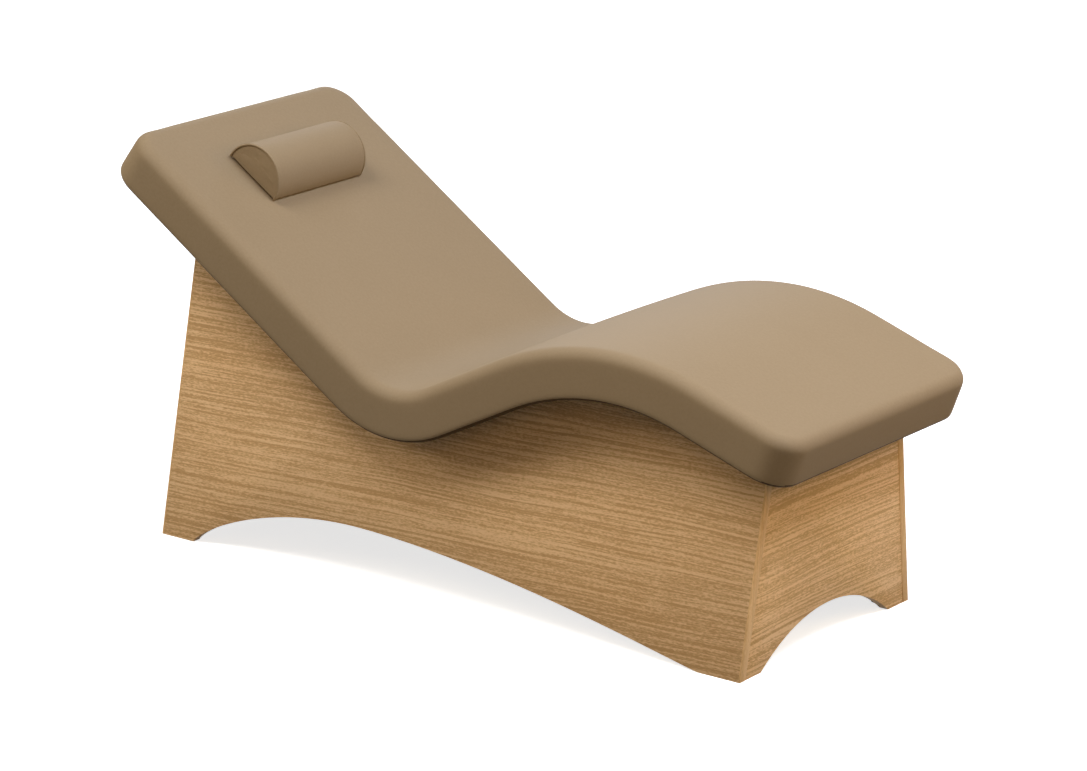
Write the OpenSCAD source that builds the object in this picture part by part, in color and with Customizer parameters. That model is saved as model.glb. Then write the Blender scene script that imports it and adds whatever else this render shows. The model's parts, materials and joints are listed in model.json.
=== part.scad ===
// Spa relaxation lounger: a wave-shaped upholstered pad on a box base of oak-veneered panels,
// with a half-round neck pillow that lifts off and four levelling feet hidden in the corners.
// Millimetres. +X runs towards the feet end, +Z is up and the floor is z = 0.

/* [Base] */
// Length of the base over the lippings at both ends
base_len = 1538; // [1420:1:1600]
// Width of the base at the floor, over both side panels
base_w = 700; // [640:1:740]
// Inward lean of each side panel from upright, in degrees
side_lean = 9.5; // [6:0.5:12]
// Thickness of the veneered panels
panel_t = 22; // [18:1:26]
// Thickness of the solid oak lipping on the ends of the side panels
lipping_t = 4; // [2:0.5:6]
// How far an end panel lies inside the ends of the side panels
end_inset = 1; // [0.5:0.5:4]

/* [Arches in the base] */
// Height of the long arch in a side panel
side_arch_rise = 122; // [80:1:150]
// Distance of that arch's crest from the head end of the base
side_arch_crest = 519; // [420:1:640]
// Length of the side panel's foot at the head end
head_foot_len = 89; // [76:1:130]
// Length of the side panel's foot at the feet end
feet_foot_len = 104; // [76:1:140]
// Height of the round arch in an end panel
end_arch_rise = 87.5; // [60:0.5:110]
// Width of each foot beside the arch of an end panel, measured from the edge of the base
end_foot_w = 85; // [78:1:110]

/* [Wave of the pad] */
// How far the lower edge of the pad's head end lies past the base
head_overhang = 145; // [100:1:180]
// Height of that edge above the floor
head_height = 830.5; // [800:1:870]
// Slope of the backrest, in degrees
back_angle = 33.7; // [31:0.1:36]
// Length of the straight backrest, along its underside
back_len = 771; // [740:1:800]
// Radius of the hollow under the hips, at the pad's underside
hip_r = 280; // [240:1:320]
// Slope of the thigh rest, in degrees
thigh_angle = 27.8; // [25:0.1:30]
// Length of the straight thigh rest
thigh_len = 208; // [180:1:230]
// Radius of the bend under the knees, at the pad's underside
knee_r = 517; // [470:1:560]
// Slope of the calf rest, in degrees
calf_angle = 18.6; // [16:0.1:21]
// Length of the straight calf rest
calf_len = 265; // [230:1:290]

/* [Pad section] */
// Width of the pad
pad_w = 772; // [740:1:800]
// Thickness of the pad at its middle
pad_t = 117; // [95:1:125]
// How much thicker the pad is at its middle than at its edges
pad_crown = 4; // [1:0.5:8]
// Rounding of the pad's top edge
top_edge_r = 28; // [18:1:36]
// Rounding of the pad's bottom edge
bottom_edge_r = 14; // [8:1:15]
// Rounding of the pad's four corners, seen from above
corner_r = 74; // [60:1:110]
// Thickness of the vinyl and its backing
cover_t = 1.6; // [1.2:0.1:2.4]
// Width of the vinyl that is turned under the deck
turn_under = 46; // [28:1:50]
// Thickness of the bent plywood deck
deck_t = 12; // [9:1:15]
// How far the deck's edge lies inside the pad's outline
deck_inset = 17; // [16:1:20]
// Thickness of the dust cloth under the deck
dust_t = 1; // [0.6:0.1:1.2]

/* [Inner frame] */
// Side of the square corner posts
post_w = 45; // [42:1:50]
// Height of a post's lower end above the floor
post_lift = 20; // [18:1:26]
// Width of the sawn cleats that carry the deck
cleat_w = 40; // [34:1:48]
// Depth of those cleats, square to the deck
cleat_h = 40; // [36:1:48]
// Thickness of the cross rails
rail_t = 18; // [15:1:22]
// Depth of the cross rails
rail_h = 90; // [70:1:110]
// Leg of the steel angle brackets
bracket_leg = 26; // [24:1:30]
// Thickness of the brackets
bracket_t = 2.5; // [2:0.5:3]
// Width of the brackets
bracket_w = 20; // [16:1:22]

/* [Fasteners] */
// Diameter of the deck bolts
bolt_d = 8; // [6:1:8]
// Diameter of the washers under the bolt heads
washer_d = 22; // [18:1:24]
// Thickness of those washers
washer_t = 1.6; // [1.2:0.1:2]
// Diameter of the tee nuts' flange
tee_flange_d = 21; // [19:1:23]
// Diameter of the long screws through the corner posts
post_screw_d = 5; // [4:0.5:6]
// How far those screws reach into the panels
post_screw_bite = 14; // [10:1:15]
// Diameter of the bracket screws
bracket_screw_d = 4; // [3:0.5:4.5]
// How far the bracket screws reach into the wood
bracket_screw_bite = 13; // [10:1:14]

/* [Levelling feet] */
// Diameter of the levelling foot's pad
foot_pad_d = 36; // [28:1:40]
// Height of that pad
foot_pad_h = 7; // [5:1:8]
// Diameter of the threaded stud
stud_d = 8; // [6:1:10]
// How far a foot screws out
foot_travel = 12; // [6:1:15]
// Length of the threaded insert in the post
insert_len = 24; // [20:1:28]

/* [Neck pillow] */
// Length of the pillow, across the backrest
pillow_len = 325; // [260:1:380]
// Width of the pillow's flat underside
pillow_w = 150; // [120:1:170]
// Height of the pillow
pillow_h = 77; // [70:1:95]
// Distance of the pillow's middle from the head end, along the backrest
pillow_from_head = 215; // [190:1:300]
// Sideways place of the pillow's middle
pillow_shift = -13; // [-40:1:40]
// Diameter of the welt round the pillow's ends
welt_d = 4; // [3:0.5:5]
// Width of the hook-and-loop strips
strip_w = 25; // [20:1:30]
// Thickness of one strip
strip_t = 1; // [0.8:0.1:1.4]
// How high the pillow lifts off, square to the backrest
pillow_lift = 150; // [100:5:250]

/* [Hidden] */
$fn = 48;

// Sides, ends and clearances
right = -1;
left = 1;
head = -1;
feet = 1;
seat_gap = 0.3;      // between the wave underside and the wood that carries it
hole_gap = 0.15;     // round a screw or bolt in its hole
thread_gap = 0.05;   // round a levelling stud in its insert
stud_gap = 0.3;      // round a levelling stud in the post above its insert
layer_gap = 0.2;     // between a skin and what it covers
hex_share = 1.7;     // corner-to-corner size of a hexagon, as a multiple of its thread
cut = 1;             // how far a cutting tool runs past a face

// Colours
oak = [0.72, 0.55, 0.36];
oak_edge = [0.76, 0.60, 0.42];
vinyl = [0.65, 0.56, 0.46];
birch = [0.86, 0.76, 0.58];
pine = [0.88, 0.76, 0.54];
foam = [0.93, 0.90, 0.78];
zinc = [0.75, 0.76, 0.78];
black = [0.13, 0.13, 0.13];

// The wave: the pad's underside as straights and arcs, followed by the distance s from the head end
function heading(a) = [cos(a), sin(a)];
function upright(a) = [-sin(a), cos(a)];

hip_turn = back_angle + thigh_angle;
knee_turn = thigh_angle + calf_angle;
s_hip = back_len;
s_thigh = s_hip + hip_r * hip_turn * PI / 180;
s_knee = s_thigh + thigh_len;
s_calf = s_knee + knee_r * knee_turn * PI / 180;
pad_len = s_calf + calf_len;

head_edge = [-base_len / 2 - head_overhang, head_height];
hip_start = head_edge + back_len * heading(-back_angle);
hip_centre = hip_start + hip_r * upright(-back_angle);
thigh_start = hip_centre - hip_r * upright(thigh_angle);
knee_start = thigh_start + thigh_len * heading(thigh_angle);
knee_centre = knee_start - knee_r * upright(thigh_angle);
calf_start = knee_centre + knee_r * upright(-calf_angle);

function wave_angle(s) =
    s < s_hip ? -back_angle :
    s < s_thigh ? -back_angle + (s - s_hip) / hip_r * 180 / PI :
    s < s_knee ? thigh_angle :
    s < s_calf ? thigh_angle - (s - s_knee) / knee_r * 180 / PI :
    -calf_angle;

function wave_underside(s) =
    s < s_hip ? head_edge + s * heading(-back_angle) :
    s < s_thigh ? hip_centre - hip_r * upright(wave_angle(s)) :
    s < s_knee ? thigh_start + (s - s_thigh) * heading(thigh_angle) :
    s < s_calf ? knee_centre + knee_r * upright(wave_angle(s)) :
    calf_start + (s - s_calf) * heading(-calf_angle);

// Distance along the wave at which its underside reaches x
function wave_reaches(x) =
    x < hip_start[0] ? (x - head_edge[0]) / cos(back_angle) :
    x < thigh_start[0] ? s_hip + (asin((x - hip_centre[0]) / hip_r) + back_angle) * hip_r * PI / 180 :
    x < knee_start[0] ? s_thigh + (x - thigh_start[0]) / cos(thigh_angle) :
    x < calf_start[0] ? s_knee + (asin((x - knee_centre[0]) / knee_r) + thigh_angle) * knee_r * PI / 180 :
    s_calf + (x - calf_start[0]) / cos(calf_angle);

// Point [x, z] at distance s along the wave and height h above its underside
function wave(s, h) = wave_underside(s) + h * upright(wave_angle(s));

// Stations at which the wave bends, shared by the pad and by the wood under it
hip_steps = 9;
knee_steps = 8;
bends = concat([for (i = [0:hip_steps]) s_hip + (s_thigh - s_hip) * i / hip_steps],
               [for (i = [0:knee_steps]) s_knee + (s_calf - s_knee) * i / knee_steps]);
reach = 300;         // how far the wave is carried on past the pad for cutting
long_bends = concat([-reach], bends, [pad_len + reach]);

// Half outline of the pad at inset d from its widest, as [s, y, share of the crown]
corner_steps = 5;
function pad_half_outline(d) = concat(
    [for (i = [0:corner_steps]) let (a = 90 * i / corner_steps)
        [corner_r - (corner_r - d) * cos(a), pad_w / 2 - corner_r + (corner_r - d) * sin(a), sin(a)]],
    [for (s = bends) [s, pad_w / 2 - d, 1]],
    [for (i = [corner_steps:-1:0]) let (a = 90 * i / corner_steps)
        [pad_len - corner_r + (corner_r - d) * cos(a),
         pad_w / 2 - corner_r + (corner_r - d) * sin(a), sin(a)]]);

// Levels [inset, height] round the bottom edge of a pad-shaped body, upwards
function round_low(inset, low, r) =
    [for (i = [0:low_steps]) let (a = 90 * i / low_steps)
        [inset + r * (1 - sin(a)), low + r * (1 - cos(a))]];

// Levels round its top edge, upwards
function round_high(inset, high, r, steps) =
    [for (i = [0:steps]) let (a = 90 * i / steps)
        [inset + r * (1 - cos(a)), high - r * (1 - sin(a))]];

function backwards(list) = [for (i = [len(list) - 1:-1:0]) list[i]];

row_count = len(pad_half_outline(0));
ring_count = 2 * row_count;
low_steps = 2;       // facets of the bottom edge's rounding
outer_steps = 3;     // facets of the top edge's rounding outside
inner_steps = 2;     // and inside the cover
crown_columns = [0.82, 0.45, 0, -0.45, -0.82];
crown_power = 4;
columns = len(crown_columns);
middle = (columns + 1) / 2;

// Points of one level: along the left side to the feet end and back along the right side
function pad_ring(level) = let (half = pad_half_outline(level[0])) concat(
    [for (p = half) let (q = wave(p[0], level[1])) [q[0], p[1], q[1]]],
    [for (p = backwards(half)) let (q = wave(p[0], level[1])) [q[0], -p[1], q[1]]]);

// Inner points of a crowned face on a level, row by row
function crown_points(level, crown) = crown == 0 ? [] :
    let (half = pad_half_outline(level[0]))
    [for (i = [1:row_count - 2]) for (u = crown_columns)
        let (p = half[i],
             q = wave(p[0], level[1] + crown * p[2] * (1 - pow(abs(u), crown_power))))
        [q[0], u * p[1], q[1]]];

// Upward faces that close the ring whose points begin at start: plain strips
function plain_faces(start) = [for (i = [0:row_count - 2])
    let (a = start + i, b = start + ring_count - 1 - i)
    each [[a, a + 1, b - 1], [a, b - 1, b]]];

// or strips through a crown whose inner points begin at inner, with a fan at each end
function crown_at(start, inner, i, c) =
    c == 0 ? start + i :
    c == columns + 1 ? start + ring_count - 1 - i :
    inner + (i - 1) * columns + c - 1;
function crowned_faces(start, inner) = let (
        last = row_count - 1,
        head_left = start, head_right = start + ring_count - 1,
        feet_left = start + last, feet_right = start + last + 1)
    concat(
        [for (i = [1:row_count - 3]) for (c = [0:columns])
            let (a = crown_at(start, inner, i, c), b = crown_at(start, inner, i + 1, c),
                 d = crown_at(start, inner, i, c + 1), e = crown_at(start, inner, i + 1, c + 1))
            each [[a, b, e], [a, e, d]]],
        [for (c = [0:columns])
            let (a = crown_at(start, inner, 1, c), b = crown_at(start, inner, 1, c + 1))
            [c < middle ? head_left : head_right, a, b]],
        [[head_left, crown_at(start, inner, 1, middle), head_right]],
        [for (c = [0:columns])
            let (a = crown_at(start, inner, last - 1, c), b = crown_at(start, inner, last - 1, c + 1))
            [c < middle ? feet_left : feet_right, b, a]],
        [[feet_left, feet_right, crown_at(start, inner, last - 1, middle)]]);
function closing_faces(start, inner, crown) =
    crown > 0 ? crowned_faces(start, inner) : plain_faces(start);

// A closed body in the shape of the pad: a skin through all the levels, closed at both its ends
module pad_form(levels, first_crown = 0, last_crown = 0) {
    count = len(levels);
    first_points = crown_points(levels[0], first_crown);
    last_points = crown_points(levels[count - 1], last_crown);
    first_inner = count * ring_count;
    last_inner = first_inner + len(first_points);
    walls = [for (k = [0:count - 2]) for (j = [0:ring_count - 1])
        let (a = k * ring_count + j, b = k * ring_count + (j + 1) % ring_count)
        each [[a, b, b + ring_count], [a, b + ring_count, a + ring_count]]];
    first_faces = [for (f = closing_faces(0, first_inner, first_crown)) backwards(f)];
    last_faces = closing_faces((count - 1) * ring_count, last_inner, last_crown);
    polyhedron(concat([for (level = levels) each pad_ring(level)], first_points, last_points),
               concat(first_faces, walls, last_faces));
}

// The origin: the middle of the pad's own length, below it on the floor
outer_levels = concat(round_low(0, 0, bottom_edge_r),
                      round_high(0, pad_t - pad_crown, top_edge_r, outer_steps));
pad_edge_x = [for (level = outer_levels) for (p = pad_ring(level)) p[0]];
mid_x = (min(pad_edge_x) + max(pad_edge_x)) / 2;
module placed() {
    translate([-mid_x, 0, 0]) children();
}

// Turns an outline drawn in [x, z] into a prism across the lounger
module across(w) {
    rotate([90, 0, 0]) linear_extrude(height = w, center = true) children();
}

// Turns an outline drawn in [y, z] into a board from x to x + t
module board(x, t) {
    translate([x, 0, 0]) rotate([90, 0, 90]) linear_extrude(height = t) children();
}

// Everything between the height floor_z and a surface that lies drop under the pad
module under_pad(drop, floor_z = 0) {
    across(2 * base_w) polygon(concat(
        [for (s = long_bends) wave(s, -drop)],
        [[wave(pad_len + reach, -drop)[0], floor_z], [wave(-reach, -drop)[0], floor_z]]));
}

// A layer under the pad between two drops
module under_pad_layer(drop_a, drop_b) {
    across(2 * base_w) polygon(concat(
        [for (s = long_bends) wave(s, -drop_a)],
        [for (i = [len(long_bends) - 1:-1:0]) wave(long_bends[i], -drop_b)]));
}

// Frame of a side panel: x along it, y inwards from its outer face, z up its slope
module on_side(side) {
    if (side == right) lean_frame() children();
    else mirror([0, 1, 0]) lean_frame() children();
}
module lean_frame() {
    translate([0, -base_w / 2, 0]) rotate([-side_lean, 0, 0]) children();
}
// Distance up the slope of a point at height z and depth y behind the outer face
function up_slope(z, y) = (z + y * sin(side_lean)) / cos(side_lean);
// Half width left between the two side frames at height z and depth y
function half_width(z, y) = base_w / 2 - z * tan(side_lean) - y / cos(side_lean);
slope_len = (head_height + pad_t) / cos(side_lean);

// Where the end panels and posts stand
end_face = base_len / 2 - end_inset;
end_inner = end_face - panel_t;
post_x = end_inner - post_w / 2;
post_depth = panel_t + post_w / 2;
post_top_drop = seat_gap + cleat_h + seat_gap;
// Height of a surface that lies drop under the straight end of the wave, at x
function end_height(end, x, drop) = end == head
    ? head_edge[1] - (x - head_edge[0]) * tan(back_angle) - drop / cos(back_angle)
    : calf_start[1] - (x - calf_start[0]) * tan(calf_angle) - drop / cos(calf_angle);

// Side arch: two flowing curves that meet at the crest, each a power curve
arch_steps = 28;
head_curve = [2, 0.76];
feet_curve = [1.7, 1.08];
crest_x = -base_len / 2 + side_arch_crest;
head_span = side_arch_crest - head_foot_len;
feet_span = base_len - side_arch_crest - feet_foot_len;
function arch_height(u, curve) = side_arch_rise * pow(max(0, 1 - pow(u, curve[0])), curve[1]);
side_arch_points = concat(
    [[crest_x - head_span, -cut]],
    [for (i = [arch_steps:-1:1]) let (u = sin(90 * i / arch_steps))
        [crest_x - u * head_span, arch_height(u, head_curve)]],
    [for (i = [0:arch_steps]) let (u = sin(90 * i / arch_steps))
        [crest_x + u * feet_span, arch_height(u, feet_curve)]],
    [[crest_x + feet_span, -cut]]);
module side_arch() {
    across(2 * base_w) polygon(side_arch_points);
}

// End arch: part of a circle through both feet and the crest
end_arch_half = base_w / 2 - end_foot_w;
end_arch_r = (pow(end_arch_half, 2) + pow(end_arch_rise, 2)) / (2 * end_arch_rise);
module end_arch() {
    translate([-base_len, 0, end_arch_rise - end_arch_r])
        rotate([0, 90, 0]) cylinder(r = end_arch_r, h = 2 * base_len, $fn = 96);
}

// Screws through the posts: three into the side panel, and three into the end panel between them
post_screw_rows = 3;
post_screw_low = 60;
post_screw_top = 90;
function post_screw_height(end, i) = let (
        top = end_height(end, end * post_x, post_top_drop) - post_screw_top)
    post_screw_low + (top - post_screw_low) * i / (post_screw_rows - 1);
side_to_end = 22;    // how much higher the screw into the end panel lies
screw_head_t = 2.5;

// Runs its children at each post screw, which points along -Z from its head at the origin
module at_post_screws(side, end) {
    for (i = [0:post_screw_rows - 1]) {
        z = post_screw_height(end, i);
        on_side(side)
            translate([end * post_x, panel_t + post_w, up_slope(z, panel_t + post_w)])
            rotate([-90, 0, 0]) children();
        on_side(side)
            translate([end * (end_inner - post_w), post_depth, up_slope(z + side_to_end, post_depth)])
            rotate([0, -90 * end, 0]) children();
    }
}
module post_screw() {
    translate([0, 0, -post_w - post_screw_bite])
        cylinder(d = post_screw_d, h = post_w + post_screw_bite);
    cylinder(d = 2 * post_screw_d, h = screw_head_t);
}
module post_screw_hole() {
    translate([0, 0, -post_w - post_screw_bite - cut])
        cylinder(d = post_screw_d + 2 * hole_gap, h = post_w + post_screw_bite + 2 * cut);
}

// Cross rails, at even distances between the end panels
rail_count = 5;
bay = 2 * end_inner / (rail_count + 1);
rail_places = [for (i = [1:rail_count]) wave_reaches(-end_inner + i * bay)];
rail_depth = panel_t + cleat_w;

// Bracket corner: on the cleat's inner face beside the rail, at half the cleat's depth
function rail_face(s) = wave(s, 0)[0] + rail_t / 2;
function bracket_height(s) = let (a = wave_angle(s), p = wave(s, 0))
    p[1] + tan(a) * (rail_t + bracket_leg) / 2 - (seat_gap + cleat_h / 2) / cos(a);
module at_bracket(side, s) {
    on_side(side)
        translate([rail_face(s), rail_depth, up_slope(bracket_height(s), rail_depth)]) children();
}
bracket_hole_at = (bracket_leg + bracket_t) / 2;
// Runs its children at a bracket's two screws, which point along -Z from their heads at the origin
module at_bracket_screws() {
    translate([bracket_hole_at, bracket_t, 0]) rotate([-90, 0, 0]) children();
    translate([bracket_t, bracket_hole_at, 0]) rotate([0, 90, 0]) children();
}
module bracket_screw() {
    translate([0, 0, -bracket_t - bracket_screw_bite])
        cylinder(d = bracket_screw_d, h = bracket_t + bracket_screw_bite);
    cylinder(d = 2 * bracket_screw_d, h = screw_head_t);
}
module bracket_screw_hole() {
    translate([0, 0, -bracket_t - bracket_screw_bite - cut])
        cylinder(d = bracket_screw_d + 2 * hole_gap, h = bracket_t + bracket_screw_bite + 2 * cut);
}
module all_bracket_screw_holes(side) {
    for (s = rail_places) at_bracket(side, s) at_bracket_screws() bracket_screw_hole();
}

// Deck bolts: up through each cleat into tee nuts in the deck, midway between two rails
bolt_bays = [1, 2, 4, 6];
bolt_places = [for (i = bolt_bays) wave_reaches(-end_inner + (i - 0.5) * bay)];
tee_flange_t = 1.2;
bolt_head_t = 5.3;
function bolt_y(s) = half_width(wave(s, 0)[1] - cleat_h / 2, panel_t + cleat_w / 2);
module at_deck_bolts(side) {
    for (s = bolt_places)
        translate([wave(s, 0)[0], side * bolt_y(s), wave(s, 0)[1]])
            rotate([0, -wave_angle(s), 0]) children();
}
deck_low = cover_t + layer_gap;
deck_high = deck_low + deck_t;
cleat_bottom = -seat_gap - cleat_h;
module bolt_hole() {
    translate([0, 0, cleat_bottom - 2 * cut])
        cylinder(d = bolt_d + 2 * hole_gap, h = deck_high - cleat_bottom + 3 * cut);
}
// Flat seats for the washer under the cleat and for the tee nut on the deck
module washer_seat() {
    translate([0, 0, cleat_bottom - washer_t]) cylinder(d = washer_d + 2 * hole_gap, h = washer_t);
}
module tee_nut_seat() {
    translate([0, 0, deck_high]) cylinder(d = tee_flange_d + 2 * hole_gap, h = tee_flange_t);
}

// Levelling feet
insert_wall = 2;
insert_d = stud_d + 2 * insert_wall;
stud_top = post_lift + insert_len + foot_travel;
stud_spare = 4;      // how far the hole in the post goes on past the stud
foot_y = half_width(post_lift, post_depth);
module at_leveller(side, end) {
    translate([end * post_x, side * foot_y, 0]) children();
}

// Panels
module side_panel(side) {
    color(oak) difference() {
        intersection() {
            on_side(side) translate([-base_len / 2 + lipping_t, 0, -panel_t])
                cube([base_len - 2 * lipping_t, panel_t, slope_len + panel_t]);
            under_pad(seat_gap);
        }
        side_arch();
        for (end = [head, feet]) at_post_screws(side, end) post_screw_hole();
    }
}
module side_panel_right() { side_panel(right); }
module side_panel_left() { side_panel(left); }

module end_panel(end) {
    top_z = head_height + pad_t;
    x = end == head ? -end_face : end_inner;
    color(oak) difference() {
        intersection() {
            board(x, panel_t) polygon([
                [-half_width(0, panel_t), 0], [half_width(0, panel_t), 0],
                [half_width(top_z, panel_t), top_z], [-half_width(top_z, panel_t), top_z]]);
            under_pad(seat_gap);
        }
        end_arch();
        for (side = [right, left]) at_post_screws(side, end) post_screw_hole();
    }
}
module head_end_panel() { end_panel(head); }
module feet_end_panel() { end_panel(feet); }

module side_panel_lippings() {
    color(oak_edge) for (side = [right, left]) for (x = [-base_len / 2, base_len / 2 - lipping_t])
        intersection() {
            on_side(side) translate([x, 0, -panel_t])
                cube([lipping_t, panel_t, slope_len + panel_t]);
            under_pad(seat_gap);
        }
}

// Inner frame
module corner_posts(end) {
    color(pine) for (side = [right, left]) difference() {
        intersection() {
            on_side(side) translate([end * post_x - post_w / 2, panel_t, -panel_t])
                cube([post_w, post_w, slope_len]);
            under_pad(post_top_drop, post_lift);
        }
        at_post_screws(side, end) post_screw_hole();
        at_leveller(side, end) {
            translate([0, 0, post_lift - cut])
                cylinder(d = insert_d + 2 * hole_gap, h = insert_len + cut);
            translate([0, 0, post_lift])
                cylinder(d = stud_d + 2 * stud_gap, h = stud_top - post_lift + stud_spare);
        }
    }
}
module head_corner_posts() { corner_posts(head); }
module feet_corner_posts() { corner_posts(feet); }

module deck_cleat(side) {
    color(birch) difference() {
        intersection() {
            on_side(side) translate([-end_inner, panel_t, 0])
                cube([2 * end_inner, cleat_w, slope_len]);
            under_pad_layer(seat_gap, seat_gap + cleat_h);
        }
        at_deck_bolts(side) {
            bolt_hole();
            washer_seat();
        }
        all_bracket_screw_holes(side);
    }
}
module deck_cleat_right() { deck_cleat(right); }
module deck_cleat_left() { deck_cleat(left); }

module cross_rail(s) {
    p = wave(s, 0);
    low = p[1] - rail_h;
    high = p[1] + rail_t;
    color(birch) difference() {
        intersection() {
            board(p[0] - rail_t / 2, rail_t) polygon([
                [-half_width(low, rail_depth), low], [half_width(low, rail_depth), low],
                [half_width(high, rail_depth), high], [-half_width(high, rail_depth), high]]);
            under_pad(seat_gap);
        }
        for (side = [right, left]) at_bracket(side, s) at_bracket_screws() bracket_screw_hole();
    }
}
module upper_back_rail() { cross_rail(rail_places[0]); }
module lower_back_rail() { cross_rail(rail_places[1]); }
module hip_rail() { cross_rail(rail_places[2]); }
module thigh_rail() { cross_rail(rail_places[3]); }
module calf_rail() { cross_rail(rail_places[4]); }

module rail_brackets() {
    color(zinc) for (side = [right, left]) for (s = rail_places) at_bracket(side, s)
        difference() {
            translate([0, 0, -bracket_w / 2]) union() {
                cube([bracket_leg, bracket_t, bracket_w]);
                cube([bracket_t, bracket_leg, bracket_w]);
            }
            at_bracket_screws() bracket_screw_hole();
        }
}
module bracket_screws() {
    color(zinc) for (side = [right, left]) for (s = rail_places)
        at_bracket(side, s) at_bracket_screws() bracket_screw();
}
module post_screws() {
    color(zinc) for (side = [right, left]) for (end = [head, feet])
        at_post_screws(side, end) post_screw();
}
module leveller_inserts() {
    color(zinc) for (side = [right, left]) for (end = [head, feet]) at_leveller(side, end)
        translate([0, 0, post_lift]) difference() {
            cylinder(d = insert_d, h = insert_len);
            translate([0, 0, -cut]) cylinder(d = stud_d + 2 * thread_gap, h = insert_len + 2 * cut);
        }
}

// Pad
module bent_deck() {
    color(birch) difference() {
        pad_form([[deck_inset, deck_low], [deck_inset, deck_high]]);
        for (side = [right, left]) at_deck_bolts(side) {
            bolt_hole();
            tee_nut_seat();
        }
    }
}
module foam_core() {
    inset = cover_t + layer_gap;
    pocket = deck_inset - layer_gap;
    color(foam) difference() {
        pad_form(concat([[pocket, deck_high + layer_gap], [pocket, inset]],
                        round_low(inset, inset, bottom_edge_r - inset),
                        round_high(inset, pad_t - pad_crown - inset, top_edge_r - inset, inner_steps)),
                 last_crown = pad_crown);
        for (side = [right, left]) at_deck_bolts(side) translate([0, 0, deck_high])
            cylinder(d = tee_flange_d + 2 * hole_gap, h = tee_flange_t + layer_gap);
    }
}
module pad_cover() {
    inner_levels = concat(
        round_low(cover_t, cover_t, bottom_edge_r - cover_t),
        round_high(cover_t, pad_t - pad_crown - cover_t, top_edge_r - cover_t, inner_steps));
    color(vinyl) pad_form(
        concat(backwards(inner_levels), [[turn_under, cover_t], [turn_under, 0]], outer_levels),
        first_crown = pad_crown, last_crown = pad_crown);
}
module dust_cloth() {
    inset = turn_under + layer_gap;
    color(black) difference() {
        pad_form([[inset, layer_gap], [inset, layer_gap + dust_t]]);
        for (side = [right, left]) at_deck_bolts(side) bolt_hole();
    }
}

module deck_bolts() {
    color(zinc) for (side = [right, left]) at_deck_bolts(side) {
        translate([0, 0, cleat_bottom - washer_t])
            cylinder(d = bolt_d, h = deck_high - cleat_bottom + washer_t);
        translate([0, 0, cleat_bottom - washer_t - bolt_head_t])
            cylinder(d = hex_share * bolt_d, h = bolt_head_t, $fn = 6);
    }
}
module deck_washers() {
    color(zinc) for (side = [right, left]) at_deck_bolts(side)
        translate([0, 0, cleat_bottom - washer_t]) difference() {
            cylinder(d = washer_d, h = washer_t);
            translate([0, 0, -cut]) cylinder(d = bolt_d + 2 * hole_gap, h = washer_t + 2 * cut);
        }
}
module deck_tee_nuts() {
    color(zinc) for (side = [right, left]) at_deck_bolts(side)
        translate([0, 0, deck_high]) difference() {
            cylinder(d = tee_flange_d, h = tee_flange_t);
            translate([0, 0, -cut]) cylinder(d = bolt_d + 2 * hole_gap, h = tee_flange_t + 2 * cut);
        }
}

// Neck pillow, drawn in [along the backrest, square to it]
pillow_r = pillow_w / 2;
pillow_base = pad_t + layer_gap + 2 * strip_t + seat_gap;
welt_r = welt_d / 2;
welt_proud = 0.6;
strip_len_gap = 22;  // how far the strips stop short of the pillow's ends
strip_edge_gap = 12; // how far they lie inside its long edges
module on_backrest(h) {
    p = wave(pillow_from_head, h);
    translate([p[0], pillow_shift, p[1]]) rotate([0, back_angle, 0]) children();
}
module half_round(inset) {
    intersection() {
        translate([0, pillow_h - pillow_r]) circle(r = pillow_r - inset, $fn = 96);
        translate([-pillow_r, inset]) square([2 * pillow_r, pillow_h]);
    }
}
module pillow_foam() {
    color(foam) on_backrest(pillow_base) {
        across(pillow_len - 4 * welt_r) half_round(cover_t);
        across(pillow_len - 2 * cover_t) half_round(2 * welt_r);
    }
}
module pillow_cover() {
    color(vinyl) on_backrest(pillow_base) across(pillow_len - 4 * welt_r) difference() {
        half_round(0);
        half_round(cover_t);
    }
}
module pillow_end_caps() {
    color(vinyl) on_backrest(pillow_base) for (end = [right, left])
        translate([0, end * (pillow_len - cover_t) / 2, 0]) across(cover_t) half_round(2 * welt_r);
}
module pillow_welts() {
    color(vinyl) on_backrest(pillow_base) for (end = [right, left])
        translate([0, end * (pillow_len / 2 - welt_r), pillow_h - pillow_r])
            rotate([90, 0, 0]) rotate_extrude(angle = 180, $fn = 96)
                translate([pillow_r - welt_r + welt_proud, 0]) circle(r = welt_r, $fn = 24);
}
module pillow_strips(low) {
    on_backrest(low) for (edge = [-1, 1])
        translate([edge * (pillow_r - strip_edge_gap - strip_w / 2) - strip_w / 2,
                   -pillow_len / 2 + strip_len_gap, 0])
            cube([strip_w, pillow_len - 2 * strip_len_gap, strip_t]);
}
module pillow_loop_strips() { color(black) pillow_strips(pad_t + layer_gap); }
module pillow_hook_strips() { color(black) pillow_strips(pillow_base - strip_t); }

// Levelling feet
collar_t = 5;
module leveller_pad(side, end) {
    color(black) at_leveller(side, end) difference() {
        cylinder(d = foot_pad_d, h = foot_pad_h);
        translate([0, 0, foot_pad_h / 2]) cylinder(d = stud_d, h = foot_pad_h);
    }
}
module leveller_stud(side, end) {
    color(zinc) at_leveller(side, end) {
        translate([0, 0, foot_pad_h / 2]) cylinder(d = stud_d, h = stud_top - foot_pad_h / 2);
        translate([0, 0, foot_pad_h]) cylinder(d = hex_share * stud_d, h = collar_t, $fn = 6);
    }
}
module head_right_leveller_pad() { leveller_pad(right, head); }
module head_right_leveller_stud() { leveller_stud(right, head); }
module head_left_leveller_pad() { leveller_pad(left, head); }
module head_left_leveller_stud() { leveller_stud(left, head); }
module feet_right_leveller_pad() { leveller_pad(right, feet); }
module feet_right_leveller_stud() { leveller_stud(right, feet); }
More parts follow.
